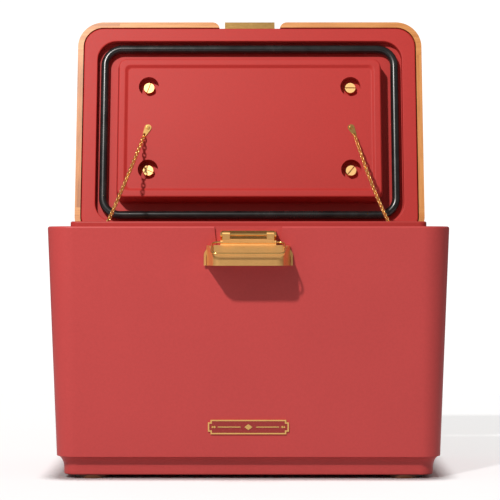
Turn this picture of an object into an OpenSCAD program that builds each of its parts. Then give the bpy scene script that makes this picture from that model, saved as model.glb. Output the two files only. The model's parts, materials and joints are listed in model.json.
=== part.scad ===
// Hard cooler with a drafted moulded body, a gasketed wooden lid held open by
// two chains, and an over-centre front latch. Drawn with the lid open.
// X runs to the right, Y to the back and Z up. The origin is on the floor,
// under the middle of the body.

/* [Body] */
// Width of the body at its shoulder
body_w = 631; // [520:1:760]
// Depth of the body at its shoulder
body_d = 410; // [340:1:500]
// Height of the shoulder above the floor
shoulder_z = 394; // [330:1:480]
// Corner radius of the body at its shoulder
body_r = 44; // [36:1:60]
// Draft of each wall, in degrees
draft = 2.25; // [1:0.25:3]
// Thickness of the moulded skins
skin = 3; // [2:0.5:5]
// How far the lip stands above the shoulder
lip_h = 8; // [5:0.5:12]
// From the body's edge to the outside of the lip
lip_inset = 35.5; // [30:0.5:40]
// Width of the lip, seen from above
lip_w = 26; // [22:1:32]
// Height of the cavity's floor
cavity_z = 62; // [50:1:90]

/* [Lid] */
// Width of the wooden lid
lid_w = 621; // [516:1:756]
// Depth of the wooden lid
lid_d = 408; // [338:1:498]
// Thickness of the wooden lid
lid_t = 40; // [34:1:50]
// How far the lid opens, in degrees
lid_open = 103; // [90:1:110]
// Width of the wooden frame
rail_w = 10; // [9:0.5:12]
// Height of the plug under the lid
plug_h = 20; // [14:1:26]

/* [Latch] */
// Width of the bail over its wire
bail_w = 115.5; // [100:0.5:130]
// Diameter of the bail's wire
bail_wire = 3; // [2.5:0.25:4]
// Swing of the bail up to the keeper, in degrees
bail_swing = 137; // [120:1:150]

/* [Chain] */
// Links in one half of a chain
half_links = 15; // [10:1:20]
// Thickness of a link's bars
link_wire = 1.8; // [1.4:0.1:2.4]

/* [Hidden] */
$fn = 48;
eps = 0.01;
gap = 0.3;            // clearance between pieces that move past each other
fit = 0.05;           // radial clearance of a pin that turns in its bore

RED = [0.78, 0.30, 0.29];
BRASS = [0.85, 0.66, 0.32];
WOOD = [0.90, 0.64, 0.40];
RUBBER = [0.09, 0.09, 0.09];
FOAM = [0.93, 0.88, 0.72];

// Body levels and insets
foot_h = 5.5;
foot_r = 29;
foot_x = body_w / 2 - 71.5;
foot_y = body_d / 2 - 55;
foot_bore_h = 2.9;    // depth of the counterbore in a foot
cove_z = 34.5;        // top of the cove above the plinth
plinth_z = 15;        // foot of the cove
plinth_in = 11.2;     // plinth behind the foot of the drafted wall
cove_steps = 4;
lip_z = shoulder_z + lip_h;
flange_t = 3;         // liner flange under the shoulder
tub_wall = 4;
mouth_w = body_w - 2 * (lip_inset + lip_w);
mouth_d = body_d - 2 * (lip_inset + lip_w);
mouth_r = 24;
pocket_w = 106;       // front pocket behind the latch
pocket_t = 4;
pocket_low = 349;

// Front and rear wall position at height z
function wall_y(z) = body_d / 2 - (shoulder_z - z) * tan(draft);

// Lid levels, drawn closed
lid_z = lip_z + 1;    // underside of the frame and of the margin
lid_top = lid_z + lid_t;
board_t = 22;
board_z = lid_top - board_t;
margin_in = 11.5;
channel_in = 36;
channel_w = 37.5;
channel_h = 15.5;
channel_r = 35;       // plan radius of the channel's outer corners
ledge_r = 16;         // plan radius of its inner corners
gasket_r = 7.4;
gasket_in = 49.5;
gasket_turn = 31;     // plan radius of the gasket's corners
plug_in = 73.5;
plug_r = 16;          // plan radius of the plug's corners
plug_draft = 3;
plug_z = lid_z - plug_h;
panel_in = 91;
panel_z = plug_z + 3;
panel_r = 8;
bolt_x = lid_w / 2 - 130;
bolt_y = lid_d / 2 - 127.3;
well_r = 18;
well_h = 17;
bolt_bore_r = 4.2;
bolt_head_r = 10;
bolt_head_h = 9;
bolt_turn = [110, 0, 25, -50];  // how far each bolt's slot is turned
corner_x = 75;        // length of a wooden corner along the front
corner_y = 62;        // length of a wooden corner along the side
notch_w = 109;
notch_d = 12;
notch_r = 13;

// Hinge axis of the lid
hinge_x = 180;
hinge_y = body_d / 2 + 4;
hinge_z = shoulder_z - 20;
knuckle_r = 4.2;
hinge_pin_r = 2;
hinge_w = 60;
hinge_screw_x = 20;
hinge_screw_drop = [15, 33];  // screws of a body leaf below the hinge axis
hinge_screw_rise = [9, 29];   // screws of a lid leaf above the lid's underside
leaf_y = body_d / 2 + 2;  // outer face of the leaf on the body

// Latch, in the plane across the front: [y, z] of its lever pin and bail pivot
latch_z = 381;
lever_pin = [-body_d / 2 - 13, latch_z];
bail_pivot = [-body_d / 2 - 12, latch_z - 12];
bail_hook = [-body_d / 2 + 4, lip_z + 6];
bail_len = norm(bail_hook - bail_pivot);
bail_up = atan2(bail_hook[1] - bail_pivot[1], bail_hook[0] - bail_pivot[0]);
bail_rest = bail_up + bail_swing;
latch_half = 43;
cheek_t = 2.5;
latch_screw_x = 30;
latch_screw_z = 357;
lever_half = 40;
knuckle_in = 28.5;
cup_half = 57;
cup_low = 333;
cup_front = -body_d / 2 - 44;
cup_t = 2;
rim_half = 69;
rim_w = 3.5;

// Chain ends, right side; the left is mirrored
tab_x = lid_w / 2 - 129.5;
tab_t = 1.6;
tab_eye = 14;
tab_head_r = 6;
link_inside = 1.45;    // half width of a link's opening
tab_turn = 25;        // tabs lean outward, towards the chain
anchor_out = 6;       // eye of an anchor, inward of the liner's wall
anchor_drop = 12;     // screw of an anchor below its eye
anchor = [mouth_w / 2 - anchor_out, 30, shoulder_z - 19];  // eye of the right chain's anchor
link_clear = 6;       // from a chain's end to its eye
upper_end = 3;        // from the upper half's last link to the chain's middle
lower_end = 18;       // from the lower half's last link to the chain's middle

// ---- shared shapes -------------------------------------------------------

// Rounded rectangle centred on the origin
module rounded(w, d, r) {
  square([w - 2 * r, d], center = true);
  square([w, d - 2 * r], center = true);
  for (x = [-1, 1], y = [-1, 1])
    translate([x * (w / 2 - r), y * (d / 2 - r)]) circle(r, $fn = 64);
}

// Rounded block of the lid from z to z + h, inset from its edge, with its own corner radius
module pad(inset, r, z, h) {
  translate([0, 0, z])
    linear_extrude(h) rounded(lid_w - 2 * inset, lid_d - 2 * inset, r);
}

// Rounded block from z to z + h, inset from the given plan size
module slab(w, d, r, inset, z, h) {
  translate([0, 0, z])
    linear_extrude(h) rounded(w - 2 * inset, d - 2 * inset, max(r - inset, 4));
}

// Drafted block of the body between two heights, shrunk by t all round
module drafted(low, high, t = 0) {
  lean = (high - low) * tan(draft);
  top_in = (shoulder_z - high) * tan(draft) + t;
  hull() {
    slab(body_w, body_d, body_r, top_in, high - eps, eps, $fn = 32);
    slab(body_w, body_d, body_r, top_in + lean, low, eps, $fn = 32);
  }
}

// Ring of constant section that follows a rounded rectangle
module ring(w, d, r) {
  for (s = [-1, 1]) {
    translate([s * w / 2, 0, 0]) rotate([90, 0, 0])
      linear_extrude(d - 2 * r, center = true) children();
    translate([0, s * d / 2, 0]) rotate([90, 0, 90])
      linear_extrude(w - 2 * r, center = true) children();
  }
  for (x = [-1, 1], y = [-1, 1])
    translate([x * (w / 2 - r), y * (d / 2 - r), 0])
      rotate(x > 0 ? (y > 0 ? 0 : 270) : (y > 0 ? 90 : 180))
        rotate_extrude(angle = 90) translate([r, 0]) children();
}

// Carries what is drawn with the lid closed to where it is with the lid open
module on_lid() {
  translate([0, hinge_y, hinge_z]) rotate([-lid_open, 0, 0])
    translate([0, -hinge_y, -hinge_z]) children();
}

// Cylinder along X, centred on [y, z]
module rod_x(r, length, at) {
  translate([0, at[0], at[1]]) rotate([0, 90, 0]) cylinder(r = r, h = length, center = true);
}

// Slotted screw pointing along +Z, its head below the origin
module screw(head_r, head_h, shank_r, length) {
  difference() {
    union() {
      translate([0, 0, -head_h]) cylinder(r1 = head_r * 0.8, r2 = head_r, h = head_h);
      translate([0, 0, -eps]) cylinder(r = shank_r, h = length);
    }
    translate([0, 0, -head_h]) cube([3 * head_r, head_r / 4, head_h], center = true);
  }
}

// ---- body ----------------------------------------------------------------

module outer_shell() {
  plan_in = (shoulder_z - cove_z) * tan(draft);
  color(RED) difference() {
    union() {
      drafted(cove_z, shoulder_z);
      slab(body_w, body_d, body_r, plan_in + plinth_in, foot_h, cove_z - foot_h + eps);
      cove(plan_in);
    }
    difference() {
      drafted(cove_z + skin, shoulder_z - skin, skin);
      latch_pocket(skin);
    }
    slab(body_w, body_d, body_r, plan_in + plinth_in + skin, foot_h - eps, cove_z);
    slab(body_w, body_d, body_r, lip_inset, shoulder_z - skin - eps, 2 * skin);
    latch_pocket(0);
    for (s = [-1, 1]) grip_opening(s, 0);
    rod_y(drain_r, 60, wall_y(drain_z));
    latch_screw_holes();
  }
}

// Hollow curve from the plinth out to the foot of the wall
module cove(plan_in) {
  function level(k) = plinth_z + (cove_z - plinth_z) * sin(90 * k / cove_steps);
  function inset(k) = plan_in + plinth_in * cos(90 * k / cove_steps);
  for (k = [0:cove_steps - 1]) hull() {
    slab(body_w, body_d, body_r, inset(k), level(k), eps, $fn = 32);
    slab(body_w, body_d, body_r, inset(k + 1), level(k + 1), eps, $fn = 32);
  }
}

// Pocket behind the latch, wider at its open top
module latch_pocket(t) {
  translate([0, -body_d / 2 + pocket_t + t, 0]) rotate([90, 0, 0])
    linear_extrude(pocket_t + t + 1)
      polygon([[-pocket_w / 2 - t, shoulder_z + 1], [pocket_w / 2 + t, shoulder_z + 1],
               [pocket_w / 2 - 5 + t, pocket_low - t], [-pocket_w / 2 + 5 - t, pocket_low - t]]);
}

module inner_liner() {
  tub_w = mouth_w + 2 * tub_wall;
  tub_d = mouth_d + 2 * tub_wall;
  color(RED) difference() {
    union() {
      slab(body_w, body_d, body_r, lip_inset - 8, shoulder_z - skin - flange_t, flange_t);
      slab(body_w, body_d, body_r, lip_inset + 0.2, shoulder_z - skin, lip_h + skin);
      translate([0, 0, cavity_z - tub_wall])
        linear_extrude(shoulder_z - skin - cavity_z + tub_wall)
          rounded(tub_w, tub_d, mouth_r + tub_wall);
    }
    translate([0, 0, cavity_z]) linear_extrude(shoulder_z) rounded(mouth_w, mouth_d, mouth_r);
    rod_y(drain_r, 30, mouth_d / 2);
    for (s = [-1, 1]) anchor_screw_hole(s);
  }
}

module body_foam() {
  margin = 0.5;
  color(FOAM) difference() {
    drafted(cove_z + skin, shoulder_z - skin - flange_t - margin, skin + margin);
    translate([0, 0, cavity_z - tub_wall - margin]) linear_extrude(shoulder_z)
      rounded(mouth_w + 2 * tub_wall + 2 * margin, mouth_d + 2 * tub_wall + 2 * margin,
              mouth_r + tub_wall);
    latch_pocket(skin + margin);
    for (s = [-1, 1]) grip_opening(s, margin);
    rod_y(drain_r + margin, 60, (mouth_d / 2 + body_d / 2) / 2);
    for (x = [-1, 1] * hinge_x)
      translate([x, body_d / 2 - 20, hinge_z - 24]) cube([hinge_w, 40, 34], center = true);
    for (x = [-1, 1] * latch_screw_x) translate([x, -body_d / 2, latch_screw_z])
      cube([10, 48, 10], center = true);
    for (s = [-1, 1]) translate([s * (mouth_w / 2 + 15), anchor[1], anchor[2] - anchor_drop])
      cube([36, 20, 20], center = true);
  }
}

module base_plate() {
  plan_in = (shoulder_z - cove_z) * tan(draft) + plinth_in + skin + 0.2;
  color(RED) difference() {
    slab(body_w, body_d, body_r, plan_in, foot_h, skin);
    for (x = [-1, 1], y = [-1, 1]) translate([x * foot_x, y * foot_y, foot_h - 1])
      cylinder(r = 2.5, h = 10);
  }
}

module foot(x, y) {
  color(WOOD) translate([x * foot_x, y * foot_y, 0]) difference() {
    cylinder(r = foot_r, h = foot_h, $fn = 96);
    translate([0, 0, -1]) cylinder(r = 2.5, h = foot_h + 2);
    translate([0, 0, -1]) cylinder(r = 7.5, h = foot_bore_h + 1);
  }
}

module foot_screws() {
  color(BRASS) for (x = [-1, 1], y = [-1, 1])
    translate([x * foot_x, y * foot_y, foot_bore_h]) screw(6.5, 2.4, 2.4, 18);
}

// Grip recess in an end wall, s picks the side; t widens it
grip_w = 130;
grip_h = 44;
grip_z = 300;
grip_depth = 24;
module grip_opening(s, t) {
  face = body_w / 2 - (shoulder_z - grip_z) * tan(draft);
  translate([s * (face - grip_depth / 2 + 2), 0, grip_z]) rotate([90, 0, 90])
    linear_extrude(grip_depth + 4 + 2 * t, center = true)
      rounded(grip_w + 2 * t, grip_h + 2 * t, 14);
}

module grip(s) {
  wall = 2.5;
  face = body_w / 2 - (shoulder_z - grip_z) * tan(draft);
  color(RED) translate([s * (face - grip_depth / 2 - 1), 0, grip_z]) rotate([90, 0, s * 90])
    difference() {
      linear_extrude(grip_depth - 2, center = true) rounded(grip_w - 0.2, grip_h - 0.2, 13.9);
      translate([0, 0, wall]) linear_extrude(grip_depth, center = true)
        rounded(grip_w - 2 * wall, grip_h - 2 * wall, 11.5);
    }
}

// ---- nameplate -----------------------------------------------------------

plate_w = 126;
plate_h = 22.5;
plate_z = 81.7;
rivet_x = 56;

// Rectangle with a square notch in each corner
module notched(w, h, n) {
  square([w - 2 * n, h], center = true);
  square([w, h - 2 * n], center = true);
}

// Stands what is drawn in XY on the drafted front wall at height z
module on_front(z) {
  translate([0, -wall_y(z), z]) rotate([90 + draft, 0, 0]) children();
}

module nameplate() {
  color(BRASS) on_front(plate_z) difference() {
    linear_extrude(2) notched(plate_w, plate_h, 4);
    translate([0, 0, 1.2]) linear_extrude(2) notched(plate_w - 4, plate_h - 4, 4);
    rivet_holes();
  }
}

module nameplate_field() {
  color([0.6, 0.27, 0.26]) on_front(plate_z) difference() {
    translate([0, 0, 1.2]) linear_extrude(0.5) notched(plate_w - 4.4, plate_h - 4.4, 4);
    rivet_holes();
  }
}

module rivet_holes() {
  for (x = [-1, 1] * rivet_x) translate([x, 0, -1]) cylinder(r = 1.05, h = 5);
}

module nameplate_rivets() {
  color(BRASS) on_front(plate_z) for (x = [-1, 1] * rivet_x) translate([x, 0, 0.02]) {
    cylinder(r = 1, h = 2);
    translate([0, 0, 1.7]) cylinder(r1 = 2.1, r2 = 1.2, h = 1);
  }
}

// ---- latch ---------------------------------------------------------------

// Profile drawn in [y, z], extruded across X between two stations
module across(x0, x1) {
  translate([x0, 0, 0]) rotate([90, 0, 90]) linear_extrude(x1 - x0) children();
}

pocket_y = -body_d / 2 + pocket_t;

module latch_base() {
  back_y = pocket_y - 0.01;
  low = latch_z - 29;
  high = latch_z + 6;
  color(BRASS) difference() {
    union() {
      across(-latch_half, latch_half)
        polygon([[back_y, low], [back_y - 2, low], [back_y - 2, high], [back_y, high]]);
      for (x = [-latch_half, latch_half - cheek_t]) across(x, x + cheek_t) {
        translate(lever_pin) circle(4.2);
        polygon([[back_y, latch_z - 11], [back_y, high], [lever_pin[0], latch_z + 4.2],
                 [lever_pin[0], latch_z - 4.2], [lever_pin[0] + 3.5, latch_z - 5]]);
      }
    }
    rod_x(2, 200, lever_pin);
    latch_screw_holes();
  }
}

module latch_screw_holes() {
  for (x = [-1, 1] * latch_screw_x)
    translate([x, -body_d / 2 - 10, latch_screw_z]) rotate([-90, 0, 0]) cylinder(r = 1.6, h = 40);
}

module latch_screws() {
  color(BRASS) for (x = [-1, 1] * latch_screw_x)
    translate([x, pocket_y - 2.02, latch_screw_z]) rotate([-90, 0, 0]) screw(3, 1.6, 1.55, 6.5);
}

module latch_pin() {
  color(BRASS) rod_x(1.95, 2 * latch_half, lever_pin);
}

// Outline of the lever's cup at a height, from the wall out to its front
module cup_plan(t) {
  side = cup_half + 8;
  wall = -body_d / 2 - 1;
  polygon([[-side + t, wall], [side - t, wall], [cup_half - t, cup_front + 14],
           [cup_half - 14, cup_front + t], [-cup_half + 14, cup_front + t],
           [-cup_half + t, cup_front + 14]]);
  for (s = [-1, 1]) translate([s * (cup_half - 14), cup_front + 14]) circle(14 - t);
}

// Side profile of the cup: a sloping top that meets a short upright front
module cup_side(t) {
  polygon([[-body_d / 2 - 1, cup_low - 1], [-body_d / 2 - 1, 364 - t], [-body_d / 2 - 18, 363 - t],
           [cup_front + 1, 345.5 - t], [cup_front - 1, 344 - t], [cup_front - 1, cup_low - 1]]);
}

module latch_lever() {
  color(BRASS) difference() {
    union() {
      // hooded cup, open below for the fingers
      difference() {
        intersection() {
          translate([0, 0, cup_low]) linear_extrude(40) cup_plan(0);
          across(-80, 80) cup_side(0);
        }
        intersection() {
          translate([0, 0, cup_low - 1]) linear_extrude(40) cup_plan(cup_t);
          across(-80, 80) cup_side(cup_t);
        }
      }
      // rim that lies on the wall round the cup
      translate([0, -body_d / 2 - 0.8, 0]) rotate([90, 0, 0]) linear_extrude(1.6)
        difference() {
          rim_outline(rim_half, cup_low);
          rim_outline(rim_half - rim_w, cup_low - rim_w);
        }
      // raised plate inside the bail
      across(-cup_half + 4, cup_half - 4)
        polygon([[-body_d / 2 - 18, 364.6], [cup_front + 5, 348.6],
                 [cup_front + 5, 346], [-body_d / 2 - 18, 361]]);
      // barrel of the bail, bead in front of it and plate up to the pin
      rod_x(3.6, 2 * latch_half, bail_pivot);
      rod_x(3, 2 * latch_half, [-body_d / 2 - 14.5, 363.6]);
      across(-lever_half, lever_half)
        polygon([lever_pin + [-3.8, -7], lever_pin + [-1.6, -7],
                 bail_pivot + [-1, 0], bail_pivot + [-3.5, 0]]);
      for (x = [-lever_half, knuckle_in]) across(x, x + lever_half - knuckle_in) {
        translate(lever_pin) circle(3.8);
        polygon([lever_pin + [-3.8, 0], lever_pin + [-3.8, -8], lever_pin + [-1.6, -8], lever_pin]);
      }
    }
    rod_x(1.95 + fit, 200, lever_pin);
    rod_x(bail_wire / 2 + fit, 200, bail_pivot);
  }
}

// Arched outline of the rim, drawn in [x, z]
module rim_outline(half, low) {
  r = 14;
  top = 362 - (rim_half - half);
  translate([-half, low]) square([2 * half, top - low - r]);
  translate([-half + r, low]) square([2 * half - 2 * r, top - low]);
  for (s = [-1, 1]) translate([s * (half - r), top - r]) circle(r);
}

// Closed wire loop from the barrel to the run that hooks over the keeper
module latch_bail() {
  r = 9;
  half = bail_w / 2 - bail_wire / 2;
  color(BRASS) translate([0, bail_pivot[0], bail_pivot[1]]) rotate([bail_rest, 0, 0]) {
    rotate([0, 90, 0]) cylinder(d = bail_wire, h = 2 * (half - r), center = true);
    translate([0, bail_len, 0]) rotate([0, 90, 0])
      cylinder(d = bail_wire, h = 2 * (half - r), center = true);
    for (s = [-1, 1]) {
      translate([s * half, r, 0]) rotate([-90, 0, 0]) cylinder(d = bail_wire, h = bail_len - 2 * r);
      for (e = [0, 1]) translate([s * (half - r), e ? bail_len - r : r, 0])
        rotate(s > 0 ? (e ? 0 : 270) : (e ? 90 : 180))
          rotate_extrude(angle = 90) translate([r, 0]) circle(d = bail_wire);
    }
  }
}

// ---- drain ---------------------------------------------------------------

drain_r = 9;
drain_z = 74;

// Cylinder along Y, centred on y, at the drain's height
module rod_y(r, length, y) {
  translate([0, y, drain_z]) rotate([90, 0, 0]) cylinder(r = r, h = length, center = true);
}

module drain_tube() {
  inside = mouth_d / 2 - 1.5;
  outside = wall_y(drain_z) + 3.2;
  color(BRASS) difference() {
    union() {
      rod_y(drain_r - 0.1, outside - inside, (outside + inside) / 2);
      rod_y(drain_r + 6, 2.4, outside - 1.2);
    }
    rod_y(6.5, 200, inside);
  }
}

module drain_washer() {
  y = wall_y(drain_z) + 3.2;
  color(RUBBER) difference() {
    rod_y(11, 1.2, y + 0.6);
    rod_y(6.6, 10, y);
  }
}

module drain_plug() {
  y = wall_y(drain_z) + 4.4 + 0.02;
  color(BRASS) difference() {
    union() {
      rod_y(6.45, 24, y - 11.9);
      rod_y(12, 5, y + 2.5);
      rod_y(5, 10, y + 8);
    }
    for (a = [0:30:330]) translate([0, y + 2.5, drain_z]) rotate([0, a, 0])
      translate([12.4, 0, 0]) rotate([90, 0, 0]) cylinder(r = 1.2, h = 8, center = true);
  }
}

// ---- lid hinges ----------------------------------------------------------

lid_knuckle = 9.85;

module hinge_axis_bore(r) {
  translate([0, hinge_y, hinge_z]) rotate([0, 90, 0]) cylinder(r = r, h = 100, center = true);
}

module hinge_body(s) {
  length = hinge_w / 2 - lid_knuckle - gap;
  color(BRASS) translate([s * hinge_x, 0, 0]) difference() {
    union() {
      for (k = [-1, 1]) translate([k * (hinge_w - length) / 2, hinge_y, hinge_z])
        rotate([0, 90, 0]) cylinder(r = knuckle_r, h = length, center = true);
      hinge_leaf();
    }
    translate([0, hinge_y, hinge_z])
      cube([2 * (lid_knuckle + gap), 4 * knuckle_r, 3 * knuckle_r], center = true);
    hinge_axis_bore(hinge_pin_r + 0.01);
    hinge_body_holes();
  }
}

// Leaf that lies on the drafted rear wall
module hinge_leaf() {
  high = hinge_z - 1.5;
  low = hinge_z - 42;
  across(-hinge_w / 2, hinge_w / 2)
    polygon([[wall_y(high) + 0.1, high], [wall_y(low) + 0.1, low], [leaf_y, low], [leaf_y, high]]);
}

module hinge_body_holes() {
  for (x = [-1, 1] * hinge_screw_x, drop = hinge_screw_drop)
    translate([x, body_d / 2 - 30, hinge_z - drop]) rotate([-90, 0, 0]) cylinder(r = 2.1, h = 60);
}

module hinge_pin(s) {
  color(BRASS) translate([s * hinge_x, hinge_y, hinge_z]) rotate([0, 90, 0])
    cylinder(r = hinge_pin_r, h = hinge_w + 2, center = true);
}

module hinge_body_screws() {
  color(BRASS) for (s = [-1, 1] * hinge_x, x = [-1, 1] * hinge_screw_x, drop = hinge_screw_drop)
    translate([s + x, leaf_y + 0.1, hinge_z - drop]) rotate([90, 0, 0]) screw(3.6, 1.4, 2, 1.9);
}

module hinge_lid(s) {
  face = lid_d / 2 + 0.02;
  web = body_d / 2 + 0.5;
  color(BRASS) on_lid() translate([s * hinge_x, 0, 0]) difference() {
    union() {
      translate([0, hinge_y, hinge_z]) rotate([0, 90, 0])
        cylinder(r = knuckle_r, h = 2 * lid_knuckle, center = true);
      translate([-lid_knuckle, web, hinge_z]) cube([2 * lid_knuckle, 2.2, lid_z - hinge_z + 4]);
      translate([-hinge_w / 2, face, lid_z + 1]) cube([hinge_w, web + 2.2 - face, lid_t - 4]);
    }
    hinge_axis_bore(hinge_pin_r + fit);
    for (x = [-1, 1] * hinge_screw_x, rise = hinge_screw_rise) translate([x, 0, lid_z + rise])
      rotate([-90, 0, 0]) cylinder(r = 2.1, h = 400);
  }
}

module hinge_lid_screws() {
  y = body_d / 2 + 2.72;
  color(BRASS) on_lid()
    for (s = [-1, 1] * hinge_x, x = [-1, 1] * hinge_screw_x, rise = hinge_screw_rise)
      translate([s + x, y, lid_z + rise]) rotate([90, 0, 0]) screw(3.6, 1.4, 2, 3.6);
}

// ---- wooden lid ----------------------------------------------------------

lid_r = 46;

// The wooden frame, before it is parted into rails and corners
module wood_frame() {
  difference() {
    slab(lid_w, lid_d, lid_r, 0, lid_z, lid_t);
    slab(lid_w, lid_d, lid_r, rail_w, lid_z - 1, lid_t + 2);
    // notch round the keeper, with rounded shoulders
    translate([0, -lid_d / 2, lid_z - 1]) linear_extrude(lid_t + 2) polygon(concat(
      [for (a = [0:10:90]) [-notch_w / 2 - notch_r * (1 - sin(a)), notch_r * (1 - cos(a))]],
      [[-notch_w / 2, 2 * notch_r], [notch_w / 2, 2 * notch_r]],
      [for (a = [90:-10:0]) [notch_w / 2 + notch_r * (1 - sin(a)), notch_r * (1 - cos(a))]],
      [[notch_w / 2 + notch_r, -1], [-notch_w / 2 - notch_r, -1]]));
  }
}

module wood_rail(x, y) {
  len_x = lid_w - 2 * corner_x;
  len_y = lid_d - 2 * corner_y;
  color(WOOD) on_lid() intersection() {
    wood_frame();
    translate([x * lid_w / 2, y * lid_d / 2, lid_z + lid_t / 2])
      cube([x ? 2 * corner_x : len_x, y ? 2 * corner_y : len_y, 2 * lid_t], center = true);
  }
}

module wood_corner(x, y) {
  color(WOOD) on_lid() intersection() {
    wood_frame();
    translate([x * lid_w / 2, y * lid_d / 2, lid_z + lid_t / 2])
      cube([2 * corner_x - 0.1, 2 * corner_y - 0.1, 2 * lid_t], center = true);
  }
}

// Five boards side by side, with a fine groove between them
module wood_top() {
  boards = 5;
  inner_d = lid_d - 2 * rail_w;
  color(WOOD) on_lid() difference() {
    slab(lid_w, lid_d, lid_r, rail_w + 0.05, board_z, board_t);
    for (i = [1:boards - 1])
      translate([0, -inner_d / 2 + i * inner_d / boards, lid_top])
        cube([lid_w, 1.2, 4], center = true);
    translate([-notch_w / 2, -lid_d / 2, lid_z]) cube([notch_w, notch_d, 2 * lid_t]);
    for (x = [-1, 1], y = [-1, 1]) translate([x * bolt_x, y * bolt_y, board_z - 1])
      cylinder(r = 7, h = 18.5);
    keeper_holes(1.6);
  }
}

// ---- lid shell, foam and gasket ------------------------------------------

module lid_shell() {
  color(RED) on_lid() difference() {
    union() {
      slab(lid_w, lid_d, lid_r, margin_in, lid_z, skin);
      pad(channel_in - skin, channel_r + skin, lid_z, channel_h + 2);
      hull() {
        pad(plug_in + plug_draft, plug_r - 3, plug_z, eps, $fn = 32);
        pad(plug_in, plug_r, lid_z, eps, $fn = 32);
      }
    }
    difference() {
      pad(channel_in, channel_r, lid_z - 1, channel_h + 1);
      pad(channel_in + channel_w, ledge_r, lid_z - 1, channel_h + 1);
    }
    pad(panel_in, panel_r, plug_z - 1, 4);
    difference() {
      pad(plug_in + plug_draft + skin, plug_r - 5, panel_z + skin, lid_t);
      for (x = [-1, 1], y = [-1, 1]) translate([x * bolt_x, y * bolt_y, 0])
        cylinder(r = well_r + 3, h = panel_z + well_h + skin);
    }
    for (x = [-1, 1], y = [-1, 1]) translate([x * bolt_x, y * bolt_y, 0]) {
      cylinder(r = well_r, h = panel_z + well_h);
      cylinder(r = bolt_bore_r, h = lid_top);
    }
    for (s = [-1, 1]) translate([s * tab_x, 0, panel_z - 1]) cylinder(r = 1.7, h = 8);
    translate([-keeper_half - 0.5, -lid_d / 2, lid_z - 1])
      cube([2 * keeper_half + 1, notch_d + 0.2, skin + 2]);
  }
}

module lid_foam() {
  color(FOAM) on_lid() difference() {
    union() {
      slab(lid_w, lid_d, lid_r, margin_in + 1, lid_z + skin + 0.2, board_z - lid_z - skin - 0.4);
      pad(plug_in + plug_draft + skin + 0.5, plug_r - 5.5, panel_z + skin + 0.2, lid_t / 2);
    }
    difference() {
      pad(channel_in - skin - 0.5, channel_r + skin + 0.5, lid_z - 1, channel_h + 3.5);
      pad(plug_in + plug_draft + skin + 0.5, plug_r - 5.5, lid_z - 2, channel_h + 6);
    }
    for (x = [-1, 1], y = [-1, 1]) translate([x * bolt_x, y * bolt_y, 0]) {
      cylinder(r = well_r + 3.5, h = panel_z + well_h + skin + 0.3);
      cylinder(r = 8, h = lid_top);
    }
    for (s = [-1, 1]) translate([s * tab_x, 0, panel_z - 1]) cylinder(r = 5, h = 14);
    keeper_room();
  }
}

module lid_gasket() {
  color(RUBBER) on_lid() translate([0, 0, lip_z + gap + gasket_r])
    ring(lid_w - 2 * gasket_in, lid_d - 2 * gasket_in, gasket_turn) circle(gasket_r, $fn = 32);
}

module lid_bolts() {
  color(BRASS) on_lid() for (i = [0:3])
    translate([(i % 2 ? 1 : -1) * bolt_x, (i < 2 ? -1 : 1) * bolt_y, panel_z + well_h - 0.05])
      rotate(bolt_turn[i]) {
        difference() {
          translate([0, 0, -bolt_head_h])
            cylinder(r1 = bolt_head_r - 0.8, r2 = bolt_head_r, h = bolt_head_h);
          translate([0, 0, -bolt_head_h]) cube([30, 2.2, 5], center = true);
        }
        translate([0, 0, -eps]) cylinder(r = 4, h = board_z - panel_z - well_h + 15);
      }
}

module lid_inserts() {
  color(BRASS) on_lid() for (x = [-1, 1], y = [-1, 1])
    translate([x * bolt_x, y * bolt_y, board_z + 0.1]) difference() {
      cylinder(r = 6.95, h = 16);
      translate([0, 0, -1]) cylinder(r = 4.03, h = 20);
    }
}

// ---- keeper --------------------------------------------------------------

keeper_half = 45;
keeper_back = -lid_d / 2 + notch_d;

// J-shaped catch, its trough open above for the bail
module keeper() {
  hook = bail_hook;
  r = bail_wire / 2 + gap;
  front = hook[0] - r;
  floor_z = hook[1] - r;
  color(BRASS) on_lid() difference() {
    across(-keeper_half, keeper_half)
      polygon([[keeper_back - 0.1, floor_z - 1.8], [front - 1.6, floor_z - 1.8],
               [front - 1.6, floor_z + 5.5], [front, floor_z + 5.5], [front, floor_z],
               [keeper_back - 2.1, floor_z], [keeper_back - 2.1, lid_top - 3],
               [keeper_back - 0.1, lid_top - 3]]);
    keeper_holes(1.7);
  }
}

module keeper_holes(r) {
  for (x = [-1, 1] * 30) translate([x, keeper_back - 5, board_z + 11]) rotate([-90, 0, 0])
    cylinder(r = r, h = 24);
}

module keeper_room() {
  translate([0, keeper_back, lid_z + 8]) cube([2 * keeper_half + 4, 8, 20], center = true);
}

module keeper_screws() {
  color(BRASS) on_lid() for (x = [-1, 1] * 30)
    translate([x, keeper_back - 2.12, board_z + 11]) rotate([-90, 0, 0]) screw(3.2, 1.6, 1.55, 16);
}

// ---- chains --------------------------------------------------------------

// Places what is drawn from the screw along +Y onto a lid tab, s picks the side
module at_tab(s) {
  on_lid() translate([s * tab_x, 0, panel_z - tab_t - 0.1]) rotate(s * -tab_turn) children();
}

module chain_tab(s) {
  color(BRASS) at_tab(s) difference() {
    linear_extrude(tab_t) {
      hull() {
        circle(tab_head_r);
        translate([0, tab_eye]) circle(3.4);
      }
    }
    translate([0, 0, -1]) cylinder(r = 1.6 + fit, h = 4);
    translate([0, tab_eye, -1]) cylinder(r = 1.9, h = 4);
  }
}

module chain_tab_screws() {
  color(BRASS) for (s = [-1, 1]) at_tab(s) translate([0, 0, -0.1]) screw(3.4, 1.8, 1.6, 6.5);
}

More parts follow.
